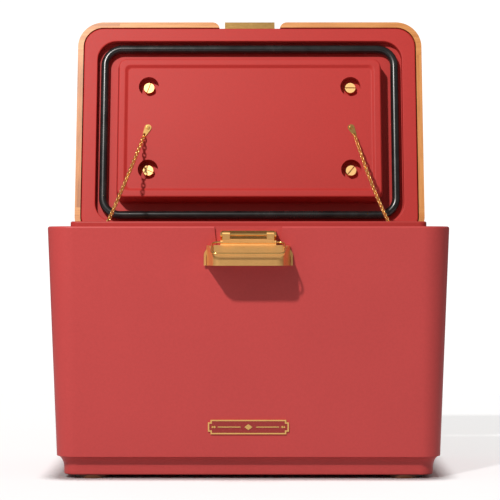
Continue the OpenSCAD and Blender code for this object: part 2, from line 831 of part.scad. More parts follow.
// Chain anchor on the liner's end wall: a screwed plate with a lug that stands out
module chain_anchor(s) {
  color(BRASS) mirror([s < 0 ? 1 : 0, 0, 0]) translate([mouth_w / 2, anchor[1], anchor[2]])
    difference() {
      union() {
        rotate([0, -90, 0]) translate([0, 0, 0.05]) linear_extrude(1.6) {
          circle(6);
          translate([-anchor_drop, 0]) circle(6);
          translate([-anchor_drop, -6]) square([anchor_drop, 12]);
        }
        rotate([90, 0, 0]) linear_extrude(1.6, center = true) {
          translate([-anchor_out, 0]) circle(3.6);
          translate([-anchor_out, -3.6]) square([anchor_out - 0.1, 7.2]);
        }
      }
      translate([-anchor_out, 0, 0]) rotate([90, 0, 0]) cylinder(r = 1.9, h = 10, center = true);
      translate([0, 0, -anchor_drop]) rotate([0, 90, 0]) cylinder(r = 1.7, h = 10, center = true);
    }
}

module anchor_screw_hole(s) {
  translate([s * mouth_w / 2, anchor[1], anchor[2] - anchor_drop]) rotate([0, 90, 0])
    cylinder(r = 1.7, h = 20, center = true);
}

module chain_anchor_screws() {
  color(BRASS) for (s = [-1, 1])
    translate([s * (mouth_w / 2 - 1.7), anchor[1], anchor[2] - anchor_drop])
      rotate([0, s * 90, 0]) screw(3.2, 1.6, 1.6, 8);
}

// World position of a tab's eye with the lid open, right side
eye_y = tab_eye * cos(tab_turn) - hinge_y;
eye_dz = panel_z - tab_t / 2 - 0.1 - hinge_z;
eye = [tab_x + tab_eye * sin(tab_turn),
       hinge_y + eye_y * cos(lid_open) + eye_dz * sin(lid_open),
       hinge_z - eye_y * sin(lid_open) + eye_dz * cos(lid_open)];
chain_run = anchor - eye;

// Stadium outline, long in Y
module stadium(r, straight) {
  square([2 * r, straight], center = true);
  for (s = [-1, 1]) translate([0, s * straight / 2]) circle(r);
}

// One stamped link along Z, starting at the origin
module link(pitch) {
  straight = pitch + 0.2 - 2 * link_inside;
  translate([0, 0, pitch / 2]) rotate([90, 0, 0]) linear_extrude(link_wire, center = true)
    difference() {
      stadium(link_inside + link_wire, straight);
      stadium(link_inside, straight);
    }
}

// Half a chain from an eye towards the middle, which it stops short of
module chain_part(start, run, links, short) {
  length = norm(run);
  pitch = (length / 2 - link_clear - short) / links;
  color(BRASS) translate(start)
    rotate([0, acos(run[2] / length), atan2(run[1], run[0])])
      for (i = [0:links - 1])
        translate([0, 0, link_clear + i * pitch]) rotate(90 * (i % 2)) link(pitch);
}

module chain_upper(s) {
  mirror([s < 0 ? 1 : 0, 0, 0]) chain_part(eye, chain_run, half_links, upper_end);
}

module chain_lower(s) {
  mirror([s < 0 ? 1 : 0, 0, 0]) chain_part(anchor, -chain_run, half_links - 1, lower_end);
}

// ---- nodes ---------------------------------------------------------------

outer_shell();
inner_liner();
body_foam();
base_plate();
foot(-1, -1);  // foot_front_left
foot(1, -1);  // foot_front_right
foot(-1, 1);  // foot_rear_left
foot(1, 1);  // foot_rear_right
foot_screws();
grip(-1);  // grip_left
grip(1);  // grip_right
nameplate();
nameplate_field();
nameplate_rivets();
latch_base();
latch_screws();
latch_pin();
latch_lever();
latch_bail();
drain_tube();
drain_washer();
drain_plug();
hinge_body(-1);  // hinge_body_left
hinge_body(1);  // hinge_body_right
hinge_pin(-1);  // hinge_pin_left
hinge_pin(1);  // hinge_pin_right
hinge_body_screws();
hinge_lid(-1);  // hinge_lid_left
hinge_lid(1);  // hinge_lid_right
hinge_lid_screws();
wood_top();
wood_rail(0, -1);  // wood_rail_front
wood_rail(0, 1);  // wood_rail_rear
wood_rail(-1, 0);  // wood_rail_left
wood_rail(1, 0);  // wood_rail_right
wood_corner(-1, -1);  // wood_corner_front_left
wood_corner(1, -1);  // wood_corner_front_right
wood_corner(-1, 1);  // wood_corner_rear_left
wood_corner(1, 1);  // wood_corner_rear_right
lid_shell();
lid_foam();
lid_gasket();
lid_bolts();
lid_inserts();
keeper();
keeper_screws();
chain_tab(-1);  // chain_tab_left
chain_tab(1);  // chain_tab_right
chain_tab_screws();
chain_anchor(-1);  // chain_anchor_left
chain_anchor(1);  // chain_anchor_right
chain_anchor_screws();
chain_upper(-1);  // chain_upper_left
chain_lower(-1);  // chain_lower_left
chain_upper(1);  // chain_upper_right
chain_lower(1);  // chain_lower_right
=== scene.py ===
"""A hard cooler with its wooden lid open: moulded red shells, brass fittings and chains, round
wooden feet. The CAD frame gives every place; this script gives the looks."""
import json
import math

import bmesh
import bpy
from mathutils import Matrix, Vector


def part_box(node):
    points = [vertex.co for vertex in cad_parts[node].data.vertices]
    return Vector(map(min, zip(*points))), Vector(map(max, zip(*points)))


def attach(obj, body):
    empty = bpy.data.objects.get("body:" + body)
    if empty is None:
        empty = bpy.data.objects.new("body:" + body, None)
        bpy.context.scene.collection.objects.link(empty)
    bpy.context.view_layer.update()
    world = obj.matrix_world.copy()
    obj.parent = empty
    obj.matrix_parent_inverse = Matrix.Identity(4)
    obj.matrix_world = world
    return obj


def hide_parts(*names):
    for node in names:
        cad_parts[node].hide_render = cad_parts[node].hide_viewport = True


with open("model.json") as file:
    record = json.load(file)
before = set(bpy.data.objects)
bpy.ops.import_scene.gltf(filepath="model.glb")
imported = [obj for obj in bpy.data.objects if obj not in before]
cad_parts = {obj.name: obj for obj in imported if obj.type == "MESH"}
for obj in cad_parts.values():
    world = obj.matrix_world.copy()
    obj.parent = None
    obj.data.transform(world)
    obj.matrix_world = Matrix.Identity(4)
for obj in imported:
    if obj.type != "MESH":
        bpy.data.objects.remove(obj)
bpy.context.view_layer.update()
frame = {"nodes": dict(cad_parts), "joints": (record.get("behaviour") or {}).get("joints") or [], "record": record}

MM = 0.001
NODES = frame["nodes"]
JOINTS = {j["name"]: j for j in frame["joints"]}

# ---- sizes, in millimetres, as in the CAD ---------------------------------

shell_low, shell_high = [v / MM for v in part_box("outer_shell")]
BODY_W = shell_high.x - shell_low.x
BODY_D = shell_high.y - shell_low.y
SHOULDER_Z = shell_high.z
PLINTH_LOW = shell_low.z
LIP_Z = (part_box("inner_liner")[1] / MM).z
BODY_R = 44
DRAFT = math.tan(math.radians(2.25))
COVE_Z, PLINTH_Z, PLINTH_IN = 34.5, 15, 11.2
FOOT_WALL = (SHOULDER_Z - COVE_Z) * DRAFT
LIP_INSET = 35.5
LIP_W = 26
CAVITY_Z = 62

LID_W, LID_D = 621, 408
LID_Z = LIP_Z + 1
PLUG_Z = LID_Z - 20
PANEL_Z = PLUG_Z + 3
WELL_X, WELL_Y = LID_W / 2 - 130, LID_D / 2 - 127.3
WELL_R, WELL_H = 18, 17
GASKET_R, GASKET_IN, GASKET_TURN = 7.4, 49.5, 31
MARGIN_IN, CHANNEL_IN, CHANNEL_H = 11.5, 36, 15
PLUG_IN, PLUG_TOP_IN, PANEL_RIM_IN, PANEL_IN = 73.5, 76.5, 87.5, 92.5

POCKET_TOP, POCKET_FOOT, POCKET_LOW, POCKET_DEPTH = 53, 48, 349, 4
GRIP_Z, GRIP_LONG, GRIP_TALL, GRIP_R, GRIP_DEPTH = 300, 130, 44, 14, 22

LINK_LONG, LINK_WIDE, LINK_WIRE = 10.6, 8.2, 2.3
LINK_STEP = 6.2  # from one link to the next
LINK_TILT = 45  # degrees each way about the chain's line
LINK_STEPS = 16
CHAIN_SAG = {"left": 3, "right": 14}

hinge = JOINTS["lid_hinge"]
HINGE = Vector(hinge["pos_m"])
OPEN = (Matrix.Translation(HINGE) @ Matrix.Rotation(-math.radians(hinge["range_deg"][1]), 4, "X")
        @ Matrix.Translation(-HINGE))


# ---- meshes ----------------------------------------------------------------

def new_object(name, mesh, body, material, replaces=()):
    """Links a mesh to the scene as a piece that rides on a body."""
    obj = bpy.data.objects.new(name, mesh)
    bpy.context.scene.collection.objects.link(obj)
    obj.data.materials.append(material)
    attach(obj, body)
    if replaces:
        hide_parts(*replaces)
    return obj


def finish_mesh(bm, name, lid=False, smooth=True):
    """Turns a bmesh in millimetres into a mesh in metres, in the open lid's place if it is on it."""
    bmesh.ops.recalc_face_normals(bm, faces=bm.faces)
    bm.transform(Matrix.Scale(MM, 4))
    if lid:
        bm.transform(OPEN)
    mesh = bpy.data.meshes.new(name)
    bm.to_mesh(mesh)
    bm.free()
    for poly in mesh.polygons:
        poly.use_smooth = smooth
    return mesh


def rounded_loop(w, d, r, steps=12):
    """Points round a rounded rectangle centred on the origin."""
    points = []
    for i, (sx, sy) in enumerate(((1, 1), (-1, 1), (-1, -1), (1, -1))):
        for k in range(steps + 1):
            a = math.radians(90 * i + 90 * k / steps)
            points.append((sx * (w / 2 - r) + r * math.cos(a), sy * (d / 2 - r) + r * math.sin(a)))
    return points


def soften(path, steps=5):
    """A profile of (inset, z, radius) corners as (inset, z) points, with each corner rounded."""
    out = []
    for i, (x, z, r) in enumerate(path):
        if r == 0 or i in (0, len(path) - 1):
            out.append((x, z))
            continue
        here = Vector((x, z))
        a = Vector(path[i - 1][:2]) - here
        b = Vector(path[i + 1][:2]) - here
        half = a.angle(b) / 2
        back = min(r / math.tan(half), a.length * 0.49, b.length * 0.49)
        r = back * math.tan(half)
        centre = here + (a.normalized() + b.normalized()).normalized() * (r / math.sin(half))
        start = here + a.normalized() * back - centre
        turn = start.angle_signed(here + b.normalized() * back - centre)
        for k in range(steps + 1):
            out.append(tuple(centre + Matrix.Rotation(-turn * k / steps, 2) @ start))
    return out


def loft(name, w, d, turn, profile, caps=(False, True), closed=False, lid=False):
    """Sweeps a profile of (inset, z) points round a rounded rectangle; turn(inset) is its radius."""
    bm = bmesh.new()
    loops = []
    for inset, z in profile:
        loop = rounded_loop(w - 2 * inset, d - 2 * inset, turn(inset))
        loops.append([bm.verts.new((x, y, z)) for x, y in loop])
    pairs = list(zip(loops, loops[1:]))
    if closed:
        pairs.append((loops[-1], loops[0]))
    for a, b in pairs:
        for i in range(len(a)):
            j = (i + 1) % len(a)
            bm.faces.new((a[i], a[j], b[j], b[i]))
    if caps[0] and not closed:
        bm.faces.new(loops[0])
    if caps[1] and not closed:
        bm.faces.new(loops[-1])
    return finish_mesh(bm, name, lid)


def between(stops):
    """A function that runs in straight lines through (at, value) stops."""
    def value(x):
        for (a, va), (b, vb) in zip(stops, stops[1:]):
            if x <= b:
                return va + (vb - va) * max(x - a, 0) / (b - a)
        return stops[-1][1]
    return value


def solid_cutter(name, build, lid=False):
    """A hidden mesh that a boolean takes away."""
    bm = bmesh.new()
    build(bm)
    obj = bpy.data.objects.new(name, finish_mesh(bm, name, lid, smooth=False))
    bpy.context.scene.collection.objects.link(obj)
    return obj


def prism(bm, outline, low, high, place=None):
    """Extrudes an outline of (x, y) points between two heights."""
    bottom = [bm.verts.new((x, y, low)) for x, y in outline]
    top = [bm.verts.new((x, y, high)) for x, y in outline]
    bm.faces.new(bottom[::-1])
    bm.faces.new(top)
    for i in range(len(outline)):
        j = (i + 1) % len(outline)
        bm.faces.new((bottom[i], bottom[j], top[j], top[i]))
    if place is not None:
        bmesh.ops.transform(bm, matrix=place, verts=bottom + top)


def circle_points(r, n=48, x=0.0, y=0.0):
    return [(x + r * math.cos(2 * math.pi * i / n), y + r * math.sin(2 * math.pi * i / n))
            for i in range(n)]


def apply_modifiers(obj, cutters=()):
    """Bakes a new piece's modifiers into its mesh and removes the cutters."""
    bpy.context.view_layer.update()
    graph = bpy.context.evaluated_depsgraph_get()
    mesh = bpy.data.meshes.new_from_object(obj.evaluated_get(graph))
    obj.modifiers.clear()
    obj.data = mesh
    for cutter in cutters:
        bpy.data.objects.remove(cutter)


def cut(obj, *cutters):
    for cutter in cutters:
        mod = obj.modifiers.new("cut", "BOOLEAN")
        mod.operation, mod.object, mod.solver = "DIFFERENCE", cutter, "EXACT"


def soft_edges(obj, width, segments=3, angle=32):
    """Rounds an object's sharp edges and shades it smoothly."""
    bevel = obj.modifiers.new("soft_edges", "BEVEL")
    bevel.width, bevel.segments, bevel.limit_method = width * MM, segments, "ANGLE"
    bevel.angle_limit = math.radians(angle)
    bevel.harden_normals = False
    bevel.use_clamp_overlap = True
    normals = obj.modifiers.new("normals", "WEIGHTED_NORMAL")
    normals.keep_sharp = True


# ---- materials ---------------------------------------------------------------

def srgb(r, g, b):
    """A colour given as 0 to 255 sRGB, as linear RGBA."""
    return tuple((c / 255 / 12.92) if c <= 10.31 else ((c / 255 + 0.055) / 1.055) ** 2.4
                 for c in (r, g, b)) + (1.0,)


class Graph:
    """A material's node tree, with short ways to add to it."""

    def __init__(self, name):
        self.material = bpy.data.materials.new(name)
        self.material.use_nodes = True
        self.nodes = self.material.node_tree.nodes
        self.links = self.material.node_tree.links
        self.shader = self.nodes["Principled BSDF"]

    def add(self, kind, **settings):
        node = self.nodes.new(kind)
        for key, value in settings.items():
            setattr(node, key, value)
        return node

    def link(self, out, into):
        self.links.new(out, into)
        return self

    def place(self, scale=(1, 1, 1), turn=(0, 0, 0)):
        """Object coordinates, scaled and turned."""
        coords = self.add("ShaderNodeTexCoord")
        mapping = self.add("ShaderNodeMapping")
        mapping.inputs["Scale"].default_value = scale
        mapping.inputs["Rotation"].default_value = turn
        self.link(coords.outputs["Object"], mapping.inputs["Vector"])
        return mapping.outputs["Vector"]

    def noise(self, vector, scale, detail=4.0, roughness=0.5, distortion=0.0):
        node = self.add("ShaderNodeTexNoise")
        node.inputs["Scale"].default_value = scale
        node.inputs["Detail"].default_value = detail
        node.inputs["Roughness"].default_value = roughness
        node.inputs["Distortion"].default_value = distortion
        self.link(vector, node.inputs["Vector"])
        return node.outputs["Fac"]

    def ramp(self, value, stops):
        node = self.add("ShaderNodeValToRGB")
        ramp = node.color_ramp
        while len(ramp.elements) < len(stops):
            ramp.elements.new(0.5)
        for element, (at, colour) in zip(ramp.elements, stops):
            element.position, element.color = at, colour
        self.link(value, node.inputs["Fac"])
        return node.outputs["Color"]

    def spread(self, value, low, high):
        """Maps a 0 to 1 value onto a range."""
        node = self.add("ShaderNodeMapRange")
        node.inputs["To Min"].default_value = low
        node.inputs["To Max"].default_value = high
        self.link(value, node.inputs["Value"])
        return node.outputs["Result"]

    def mix(self, factor, a, b, blend="MIX"):
        node = self.add("ShaderNodeMix", data_type="RGBA", blend_type=blend)
        for socket, value in (("Factor", factor), ("A", a), ("B", b)):
            into = [s for s in node.inputs if s.name == socket and
                    (s.type == "RGBA" or socket == "Factor" and s.type == "VALUE")][0]
            if isinstance(value, bpy.types.NodeSocket):
                self.link(value, into)
            else:
                into.default_value = value
        return [s for s in node.outputs if s.type == "RGBA"][0]

    def bump(self, height, distance, strength=1.0):
        node = self.add("ShaderNodeBump")
        node.inputs["Distance"].default_value = distance
        node.inputs["Strength"].default_value = strength
        self.link(height, node.inputs["Height"])
        self.link(node.outputs["Normal"], self.shader.inputs["Normal"])

    def set(self, **values):
        for key, value in values.items():
            self.shader.inputs[key.replace("_", " ")].default_value = value
        return self


def red_plastic(name, colour, roughness=0.42, grain=1.0):
    """Moulded polymer: faintly mottled, with a fine pebbled skin."""
    g = Graph(name)
    place = g.place()
    cloudy = g.noise(place, 7.0, 3.0)
    fine = g.noise(place, 260.0, 4.0, 0.6)
    base = g.mix(cloudy, tuple(c * 0.95 for c in colour[:3]) + (1,),
                 tuple(min(c * 1.05, 1) for c in colour[:3]) + (1,))
    specks = g.ramp(fine, [(0.30, (0.94, 0.94, 0.94, 1)), (0.62, (1, 1, 1, 1))])
    g.link(g.mix(1.0, base, specks, "MULTIPLY"), g.shader.inputs["Base Color"])
    g.link(g.spread(fine, roughness - 0.05, roughness + 0.08), g.shader.inputs["Roughness"])
    pebble = g.noise(place, 900.0, 2.0, 0.5)
    g.bump(pebble, 0.00012 * grain, 0.5)
    g.set(IOR=1.5, Specular_IOR_Level=0.24)
    return g.material


def brass(name, colour, roughness=0.16, scratch=(40, 900, 900), metallic=1.0):
    """Polished brass: fine polishing lines and a little uneven tarnish."""
    g = Graph(name)
    lines = g.noise(g.place(scratch), 3.0, 3.0, 0.6)
    cloud = g.noise(g.place(), 60.0, 3.0)
    dark = tuple(c * f for c, f in zip(colour[:3], (0.80, 0.72, 0.60))) + (1,)
    g.link(g.mix(g.spread(cloud, 0.0, 0.55), colour, dark), g.shader.inputs["Base Color"])
    g.link(g.spread(lines, roughness * 0.6, roughness * 1.6), g.shader.inputs["Roughness"])
    g.bump(lines, 0.00004, 0.35)
    g.set(Metallic=metallic)
    return g.material


def wood(name, along, light, mid, dark, seed=0.0):
    """Oiled hardwood with its grain across the width (x) or down the open lid (lid)."""
    turn = -math.radians(hinge["range_deg"][1])
    g = Graph(name)
    coords = g.add("ShaderNodeTexCoord")
    laid = g.add("ShaderNodeMapping")
    laid.inputs["Rotation"].default_value = (-turn, 0, 0)
    laid.inputs["Location"].default_value = (seed, seed * 0.7, seed * 1.3)
    g.link(coords.outputs["Object"], laid.inputs["Vector"])
    stretch = g.add("ShaderNodeMapping")
    stretch.inputs["Scale"].default_value = {"x": (1.2, 26, 26), "lid": (26, 1.2, 26)}[along]
    g.link(laid.outputs["Vector"], stretch.inputs["Vector"])
    vector = stretch.outputs["Vector"]
    rings = g.noise(vector, 1.6, 3.0, 0.55, 0.8)
    fibre = g.noise(vector, 14.0, 5.0, 0.65)
    bands = g.ramp(rings, [(0.30, dark), (0.44, mid), (0.58, light), (0.75, mid)])
    pores = g.ramp(fibre, [(0.30, (0.72, 0.62, 0.52, 1)), (0.52, (1, 1, 1, 1))])
    g.link(g.mix(0.8, bands, pores, "MULTIPLY"), g.shader.inputs["Base Color"])
    g.link(g.spread(fibre, 0.48, 0.34), g.shader.inputs["Roughness"])
    g.bump(fibre, 0.00025, 0.45)
    g.set(IOR=1.48, Coat_Weight=0.12, Coat_Roughness=0.25)
    return g.material


def rubber(name):
    """Black extruded seal with a little bloom."""
    g = Graph(name)
    place = g.place()
    dust = g.noise(place, 45.0, 4.0, 0.6)
    g.link(g.ramp(dust, [(0.35, srgb(20, 20, 21)), (0.75, srgb(38, 37, 37))]),
           g.shader.inputs["Base Color"])
    g.link(g.spread(dust, 0.20, 0.32), g.shader.inputs["Roughness"])
    g.bump(g.noise(place, 500.0, 3.0), 0.00008, 0.4)
    return g.material


def foam(name):
    """Rigid cellular foam."""
    g = Graph(name)
    place = g.place()
    cells = g.noise(place, 700.0, 3.0, 0.6)
    g.link(g.ramp(cells, [(0.3, srgb(205, 190, 140)), (0.7, srgb(236, 225, 184))]),
           g.shader.inputs["Base Color"])
    g.bump(cells, 0.0004, 0.6)
    g.set(Roughness=0.9)
    return g.material


RED = srgb(186, 68, 67)
BODY_RED = red_plastic("body_red", RED)
# The lid's red is a darker copy of the body's plastic: painted shade, so that the open lid, which the key lights
# more steeply, reads as dark as the body's front.
LID_RED_PAINTED_SHADE = red_plastic("lid_red_painted_shade", srgb(186, 50, 46), roughness=0.5)
# The liner's red is a darker copy of the body's plastic: painted shade on the set-back lip's face.
LINER_RED_PAINTED_SHADE = red_plastic("liner_red_painted_shade", srgb(172, 56, 53))
BRASS_COLOUR = srgb(255, 204, 126)
BRASS = brass("brass_polished", BRASS_COLOUR)
CHAIN_BRASS = brass("brass_chain", srgb(255, 206, 132), 0.22, (300, 300, 300))
LEVER_BRASS = brass("brass_lever", srgb(246, 190, 118), 0.3, metallic=0.7)
BOLT_BRASS = brass("brass_bolt", srgb(228, 186, 126), 0.42, (300, 300, 300))
WOOD_LIGHT, WOOD_MID, WOOD_DARK = srgb(220, 152, 84), srgb(204, 130, 64), srgb(150, 84, 38)
WOOD_X = wood("wood_rail", "x", WOOD_LIGHT, WOOD_MID, WOOD_DARK)
WOOD_SIDE = wood("wood_side", "lid", WOOD_LIGHT, WOOD_MID, WOOD_DARK, 3.1)
WOOD_CORNER = wood("wood_corner", "x", WOOD_LIGHT, WOOD_MID, WOOD_DARK, 5.3)
# The feet's wood is a dark copy of the lid's timber: painted shade for the shadow under the plinth's overhang.
WOOD_FOOT_PAINTED_SHADE = wood("wood_foot", "x", srgb(96, 52, 22), srgb(80, 42, 16), srgb(58, 30, 12), 8.7)
RUBBER = rubber("seal_rubber")
FOAM = foam("core_foam")
ENAMEL = red_plastic("plate_enamel", srgb(150, 52, 50), 0.25, 0.3)


def paint(material, *names):
    for name in names:
        slots = NODES[name].data.materials
        slots.clear()
        slots.append(material)


# ---- moulded body --------------------------------------------------------------

def make_shell():
    """Drafted wall over a hollow cove and a plinth, dented for the latch and the two grips."""
    plinth_in = FOOT_WALL + PLINTH_IN
    cove = [(FOOT_WALL + PLINTH_IN * math.cos(math.radians(a)),
             PLINTH_Z + (COVE_Z - PLINTH_Z) * math.sin(math.radians(a))) for a in range(0, 85, 7)]
    low = soften([(plinth_in + 60, PLINTH_LOW + 1, 0), (plinth_in, PLINTH_LOW, 2.2),
                  (plinth_in, PLINTH_Z, 0)])
    high = soften([(FOOT_WALL + 1, COVE_Z, 0), (FOOT_WALL, COVE_Z, 1.5), (0, SHOULDER_Z, 3.2),
                   (LIP_INSET + 2, SHOULDER_Z, 0)])
    inner = [(LIP_INSET + 2, CAVITY_Z - 14), (LIP_INSET + 80, CAVITY_Z - 14)]
    profile = low[:-1] + cove + high + inner
    mesh = loft("body_shell", BODY_W, BODY_D, between([(0, BODY_R), (38, 12)]), profile,
                caps=(True, True))
    body = new_object("body_shell", mesh, "cooler_body", BODY_RED, ["outer_shell"])

    def pocket(bm):
        outline = [(-POCKET_TOP, SHOULDER_Z + 3), (POCKET_TOP, SHOULDER_Z + 3),
                   (POCKET_FOOT, POCKET_LOW), (-POCKET_FOOT, POCKET_LOW)]
        prism(bm, outline, 0, 30, Matrix.Translation((0, -BODY_D / 2 + POCKET_DEPTH, 0))
              @ Matrix.Rotation(math.radians(90), 4, "X"))

    def grips(bm):
        face = BODY_W / 2 - (SHOULDER_Z - GRIP_Z) * DRAFT
        for s in (-1, 1):
            prism(bm, rounded_loop(GRIP_LONG, GRIP_TALL, GRIP_R), -GRIP_DEPTH, 10,
                  Matrix.Translation((s * face, 0, GRIP_Z))
                  @ Matrix.Rotation(math.radians(90 * s), 4, "Y")
                  @ Matrix.Rotation(math.radians(90), 4, "Z"))

    cutters = [solid_cutter("pocket_cutter", pocket), solid_cutter("grip_cutter", grips)]
    cut(body, *cutters)
    apply_modifiers(body, cutters)
    soft_edges(body, 0.9)
    return body


def make_liner():
    profile = soften([(LIP_INSET, SHOULDER_Z - 2, 0), (LIP_INSET, LIP_Z, 2.4),
                      (LIP_INSET + LIP_W, LIP_Z, 4), (LIP_INSET + LIP_W, CAVITY_Z, 16),
                      (LIP_INSET + LIP_W + 60, CAVITY_Z, 0)], steps=6)
    turn = between([(LIP_INSET, 13), (LIP_INSET + LIP_W, 24), (LIP_INSET + LIP_W + 60, 24)])
    mesh = loft("liner", BODY_W, BODY_D, turn, profile)
    return new_object("liner", mesh, "cooler_body", LINER_RED_PAINTED_SHADE, ["inner_liner"])


make_shell()
make_liner()


# ---- lid -----------------------------------------------------------------------

def make_lid_shell():
    """Margin, gasket channel, plug and recessed panel, with four wells in the panel."""
    back = LID_Z + 17
    channel = LID_Z + CHANNEL_H
    profile = soften([(200, back, 0), (MARGIN_IN, back, 2), (MARGIN_IN, LID_Z, 2.2),
                      (CHANNEL_IN, LID_Z, 1.6), (CHANNEL_IN, channel, 1), (PLUG_IN, channel, 1),
                      (PLUG_IN, LID_Z, 0), (PLUG_TOP_IN, PLUG_Z, 2.6), (PANEL_RIM_IN, PLUG_Z, 4),
                      (PANEL_IN, PANEL_Z, 4), (120, PANEL_Z, 0)])
    turn = between([(MARGIN_IN, 34.5), (CHANNEL_IN, 35), (PLUG_IN, 16), (PLUG_TOP_IN, 13),
                    (PANEL_RIM_IN, 9), (PANEL_IN, 7), (120, 4)])
    mesh = loft("lid_pan", LID_W, LID_D, turn, profile, caps=(True, True), lid=True)
    pan = new_object("lid_pan", mesh, "lid", LID_RED_PAINTED_SHADE, ["lid_shell"])

    def wells(bm):
        for x in (-WELL_X, WELL_X):
            for y in (-WELL_Y, WELL_Y):
                prism(bm, circle_points(WELL_R, 64, x, y), PANEL_Z - 5, PANEL_Z + WELL_H)

    cutter = solid_cutter("well_cutter", wells, lid=True)
    cut(pan, cutter)
    apply_modifiers(pan, [cutter])
    soft_edges(pan, 1.1)
    return pan


def make_gasket():
    centre = LIP_Z + 0.3 + GASKET_R
    path = [(GASKET_IN + GASKET_R * math.cos(math.radians(a)),
             centre + GASKET_R * math.sin(math.radians(a))) for a in range(-210, 31, 12)]
    path += [(GASKET_IN + 6, centre + 7.3), (GASKET_IN - 6, centre + 7.3)]
    mesh = loft("gasket", LID_W, LID_D, lambda inset: GASKET_TURN + GASKET_IN - inset, path,
                closed=True, lid=True)
    return new_object("gasket", mesh, "lid", RUBBER, ["lid_gasket"])


make_lid_shell()
make_gasket()

# ---- chains ----------------------------------------------------------------------

def link_mesh(bm, centre, along, across, out):
    """One stadium link of round wire: its long way runs along, its short way across."""
    rings = []
    for k in range(LINK_STEPS):
        a = 2 * math.pi * k / LINK_STEPS
        stretch = (LINK_LONG - LINK_WIDE) / 2 * (1 if math.cos(a) > 0 else -1)
        reach = (LINK_WIDE - LINK_WIRE) / 2
        middle = centre + along * (stretch + reach * math.cos(a)) + across * reach * math.sin(a)
        radial = along * math.cos(a) + across * math.sin(a)
        rings.append([bm.verts.new(middle + LINK_WIRE / 2 * (radial * math.cos(b) + out * math.sin(b)))
                      for b in (2 * math.pi * m / 8 for m in range(8))])
    for i in range(LINK_STEPS):
        for m in range(8):
            n, j = (m + 1) % 8, (i + 1) % LINK_STEPS
            bm.faces.new((rings[i][m], rings[j][m], rings[j][n], rings[i][n]))


def hang(start, end, sag, t):
    return start.lerp(end, t) + Vector((0, 0, -4 * sag * t * (1 - t)))


def make_chain(name, body, start, end, sag, part, replaced):
    """Half a curb chain between two eyes, drawn where it hangs with the lid open."""
    bm = bmesh.new()
    links = round((end - start).length / LINK_STEP)
    for i in range(links):
        t = (i + 0.5) / links
        if not part[0] <= t < part[1]:
            continue
        along = (hang(start, end, sag, t + 0.01) - hang(start, end, sag, t - 0.01)).normalized()
        side = along.cross(Vector((0, 1, 0))).normalized()
        turn = Matrix.Rotation(math.radians(LINK_TILT * (1 if i % 2 else -1)), 3, along)
        across = turn @ side
        link_mesh(bm, hang(start, end, sag, t), along, across, along.cross(across))
    return new_object(name, finish_mesh(bm, name), body, CHAIN_BRASS, [replaced])


for side, sag in CHAIN_SAG.items():
    eye = Vector(JOINTS[f"chain_upper_{side}_swing"]["pos_m"]) / MM
    anchor = Vector(JOINTS[f"chain_lower_{side}_swing"]["pos_m"]) / MM
    make_chain(f"links_upper_{side}", f"chain_upper_{side}", eye, anchor, sag, (0, 0.5),
               f"chain_upper_{side}")
    make_chain(f"links_lower_{side}", f"chain_lower_{side}", eye, anchor, sag, (0.5, 1),
               f"chain_lower_{side}")

# ---- CAD nodes that stay, with their materials -----------------------------------

WOODEN = [n for n in NODES if n.startswith("wood_")]
paint(WOOD_X, "wood_rail_front", "wood_rail_rear", "wood_top")
paint(WOOD_SIDE, "wood_rail_left", "wood_rail_right")
paint(WOOD_CORNER, *[n for n in NODES if n.startswith("wood_corner")])
paint(WOOD_FOOT_PAINTED_SHADE, *[n for n in NODES if n.startswith("foot_") and n != "foot_screws"])
paint(BODY_RED, "base_plate", "grip_left", "grip_right")
paint(FOAM, "body_foam", "lid_foam")
paint(ENAMEL, "nameplate_field")
paint(RUBBER, "drain_washer")
PAINTED = ("latch_lever", "lid_bolts")
BRASS_NODES = [n["node"] for n in frame["record"]["subparts"] if n["material_slot"] == "brass"]
paint(BRASS, *[n for n in BRASS_NODES if n not in PAINTED])
paint(LEVER_BRASS, "latch_lever")
paint(BOLT_BRASS, "lid_bolts")
for name in WOODEN:
    soft_edges(NODES[name], 1.6 if "top" not in name else 0.8)
for name in BRASS_NODES:
    if not name.startswith("chain_upper") and not name.startswith("chain_lower"):
        soft_edges(NODES[name], 0.35, 2)


# ---- nameplate ornament ----------------------------------------------------------

def make_ornament():
    """A generic line, diamond and line in brass on the nameplate's enamel field."""
    low, high = [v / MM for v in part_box("nameplate_field")]
    middle, half = (low + high) / 2, (high.x - low.x) / 2
    bm = bmesh.new()
    face = Matrix.Translation((middle.x, low.y, middle.z)) @ Matrix.Rotation(math.pi / 2, 4, "X")
    sunk, proud, line = -0.3, 0.35, 0.8
    prism(bm, [(0, -4.6), (6.4, 0), (0, 4.6), (-6.4, 0)], sunk, proud, face)
    for s in (-1, 1):
        a, b = sorted((s * 12, s * (half - 13)))
        prism(bm, [(a, -line), (b, -line), (b, line), (a, line)], sunk, proud, face)
        small = [(s * (half - 8) + x, z) for x, z in ((-2.4, 0), (0, -2), (2.4, 0), (0, 2))]
        prism(bm, small, sunk, proud, face)
    mesh = finish_mesh(bm, "nameplate_ornament", smooth=False)
    return new_object("nameplate_ornament", mesh, "cooler_body", BRASS)


make_ornament()

# ---- studio ----------------------------------------------------------------------

